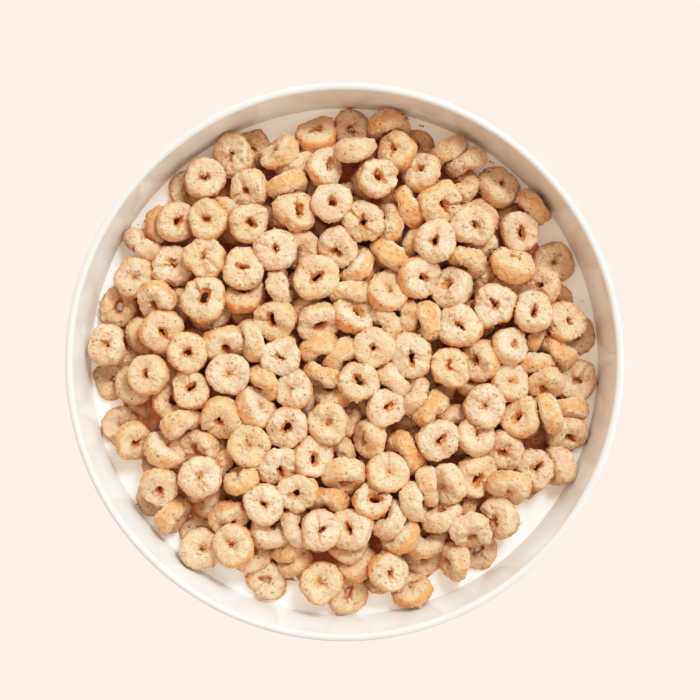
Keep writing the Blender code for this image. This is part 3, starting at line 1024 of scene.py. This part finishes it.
# %% Soaked and shaded bed
BED_INSET = 0.0060
BED_UNDERSIDE = 0.0001  # over the milk
BED_EDGE = 0.0004  # over the milk
BED_HEIGHT = 0.0030
BED_FLATNESS = 6  # higher keeps the bed level for longer towards its edge
BED_SIDES = 160
BED_STEPS = 48
BED_LUMPS = (("bed_lumps", 0.006, 0.0030), ("bed_grain", 0.0015, 0.0008))
PLAIN_TOASTED_AND_SHADED, PLAIN_TONE = 0.3, 0.5


def plain_dough(name, form, soaked_and_shaded, lumps=()):
    """A piece of cereal from a bmesh, with the same toasting and soaking, both partly painted shade, all
    over.
    """
    piece = object_from(name, form, dough)
    for label, value in (("toasted_and_shaded", PLAIN_TOASTED_AND_SHADED), ("soaked_and_shaded", soaked_and_shaded), ("tone", PLAIN_TONE)):
        set_values(piece.data, label, np.full(len(piece.data.vertices), value))
    for label, size, depth in lumps:
        displace(piece, label, size, depth)
    apply_modifiers(piece)
    stand_in(piece, "cereal_heap")


reach = HEAP_RADIUS - BED_INSET
section = [(0, MILK_HEIGHT + BED_UNDERSIDE), (reach, MILK_HEIGHT + BED_UNDERSIDE)]
for r in np.linspace(reach, 0, BED_STEPS):
    section.append((r, MILK_HEIGHT + BED_EDGE + BED_HEIGHT * (1 - (r / reach) ** BED_FLATNESS)))
form = turned(section, BED_SIDES)
for corner in form.verts:
    pull = (heap_outline(math.atan2(corner.co.y, corner.co.x)) - BED_INSET) / reach
    corner.co.x *= pull
    corner.co.y *= pull
# painted shade, partly: the bed is marked 0.8 soaked, so it comes out dark like dough deep in shade
plain_dough("soaked_and_shaded_bed", form, 0.8, BED_LUMPS)

# %% Loose crumbs
CRUMBS = 45
CRUMB_SIZES = (0.00020, 0.00045)
CRUMB_STRETCHES = (0.7, 1.4)
CRUMBS_ASTRAY = (0.0005, 0.0022)  # how far outside the heap they lie, and how much that varies
OFF_THE_WALL = 0.0015
AFLOAT = 0.3  # share of a crumb's radius that its middle stands over the milk

form = bmesh.new()
for _ in range(CRUMBS):
    angle = rng.uniform(0, 2 * math.pi)
    away = heap_outline(angle) + rng.normal(*CRUMBS_ASTRAY)
    away = min(away, inside_radius(MILK_HEIGHT) - OFF_THE_WALL)
    size = rng.uniform(*CRUMB_SIZES)
    crumb = bmesh.ops.create_icosphere(form, subdivisions=1, radius=size)["verts"]
    bmesh.ops.scale(form, verts=crumb, vec=Vector(rng.uniform(*CRUMB_STRETCHES, 3)))
    bmesh.ops.rotate(form, verts=crumb, matrix=Matrix.Rotation(rng.uniform(0, 3), 3, "Z"))
    spot = (away * math.cos(angle), away * math.sin(angle), MILK_HEIGHT + AFLOAT * size)
    bmesh.ops.translate(form, verts=crumb, vec=spot)
plain_dough("crumbs_loose", form, 0.0)

# %% [markdown]
# ## Milk
#
# Milk is white because it scatters light under its surface, so the shader lets light in and out again.
# The milk also glows faintly and evenly all over: painted light that brightens it where a ring casts its
# shade, standing in for light that travels far under its surface. Its top isn't flat everywhere: it climbs
# half a millimetre up the glaze and up each ring that dips into it. The top is turned as a fine disc, and
# each of its points is then lifted by how near it is to the wall and to the rings.

# %% Section of the milk
MILK_SPOKES = 384
CREEP_UP_WALL = 0.0005
CREEP_UP_RINGS = 0.0005
CREEP_WIDTH = 0.0011
MILK_FLOOR_GAP = 0.0003
INTO_THE_WALL = 0.0002  # so that no air gap shows
NARROW_STEPS = (0, 0.0002, 0.0005, 0.0009, 0.0014, 0.002)  # in from the wall, where it curves most
WIDE_STEP = 0.0008
WIDE_FROM = 0.0027  # in from the wall
FINE_AS_FAR_IN_AS = 0.052
INNERMOST = (0.045, 0.02, 0)  # radii where the heap hides the milk
TOP_OF_THE_SIDE = 0.001  # under the milk's level


def milk_section():
    """Half section of the milk: its floor, the corner, the wall, and its top in ever wider steps."""
    lean = math.hypot(1, INNER_LEAN)
    points = [(0, FLOOR_HEIGHT + MILK_FLOOR_GAP)]
    points += leaning_wall(
        RIM_RADIUS - RIM_THICKNESS - MILK_FLOOR_GAP * lean,
        BOWL_HEIGHT,
        INNER_LEAN,
        INNER_CORNER - MILK_FLOOR_GAP,
        FLOOR_HEIGHT + MILK_FLOOR_GAP,
        steps=8,
    )
    shoulder = MILK_HEIGHT - TOP_OF_THE_SIDE
    points += [(inside_radius(shoulder, MILK_FLOOR_GAP), shoulder)]
    top = inside_radius(MILK_HEIGHT + CREEP_UP_WALL) + INTO_THE_WALL
    points += [(r, MILK_HEIGHT) for r in top - np.array(NARROW_STEPS)]
    points += [(r, MILK_HEIGHT) for r in np.arange(top - WIDE_FROM, FINE_AS_FAR_IN_AS, -WIDE_STEP)]
    points += [(r, MILK_HEIGHT) for r in INNERMOST]
    return points


# %% Creeping up the wall and the rings
WETTED = 1.1  # radius that the milk finds round each ring's middle line, against the plain one
AT_ONCE = 2000  # points worked out together, to save memory


def lifted(x, y):
    """How far the milk creeps up at points of its surface."""
    edge = inside_radius(MILK_HEIGHT)
    rise = CREEP_UP_WALL * np.exp(-(edge - np.hypot(x, y)).clip(0) / CREEP_WIDTH)
    dots = (places[:, None] + arms(PROBES, turns, sizes)).reshape(-1, 3)
    radii = np.repeat(BALL_RADIUS * WETTED * sizes, PROBES)
    from_milk = dots[:, 2] - MILK_HEIGHT
    dips = np.abs(from_milk) < radii
    dots, radii, from_milk = dots[dips], radii[dips], from_milk[dips]
    waterline = np.sqrt(radii**2 - from_milk**2)
    for start in range(0, len(x), AT_ONCE):
        some = slice(start, start + AT_ONCE)
        away = np.hypot(x[some, None] - dots[:, 0], y[some, None] - dots[:, 1]) - waterline
        nearest = np.clip(away.min(1), 0, None)
        rise[some] = np.maximum(rise[some], CREEP_UP_RINGS * np.exp(-nearest / CREEP_WIDTH))
    return rise


# %% Milk
MILK_WHITE = ((0.985, 0.96, 0.90), (0.99, 0.975, 0.93))
MILK_ROUGHNESS = (0.16, 0.26)
# painted light: the milk glows faintly and evenly, which brightens it where rings shade it
PAINTED_MILK_GLOW = 0.145  # share of light that comes out of the milk everywhere
PAINTED_MILK_GLOW_COLOUR = (1.0, 0.90, 0.77)


def whole_milk():
    """Milk: white, soft and faintly warm, with a thin shine and a faint painted glow."""
    material, tree, shader = node_material("milk")
    tree.links.new(mixed(tree, uneven(tree, 0.02), *MILK_WHITE), shader.inputs["Base Color"])
    gloss = ramp(tree, uneven(tree, 0.012), 0, 1, *MILK_ROUGHNESS)
    tree.links.new(gloss, shader.inputs["Roughness"])
    shader.inputs["Subsurface Weight"].default_value = 0.25
    shader.inputs["Subsurface Radius"].default_value = (0.0014, 0.0011, 0.0008)
    shader.inputs["Subsurface Scale"].default_value = 1
    # painted light: a faint even glow
    shader.inputs["Emission Color"].default_value = (*PAINTED_MILK_GLOW_COLOUR, 1)
    shader.inputs["Emission Strength"].default_value = PAINTED_MILK_GLOW
    shader.inputs["IOR"].default_value = 1.35
    bumped(tree, shader, uneven(tree, 0.006, 1), depth=0.00002)
    return material


form = turned(milk_section(), MILK_SPOKES)
top = [corner for corner in form.verts if corner.co.z > MILK_HEIGHT - 1e-5]
rise = lifted(np.array([corner.co.x for corner in top]), np.array([corner.co.y for corner in top]))
for corner, lift in zip(top, rise):
    corner.co.z += lift
stand_in(object_from("milk_poured", form, whole_milk()), "milk")
print("the milk creeps up by", round(float(rise.max()) * 1000, 2), "mm")
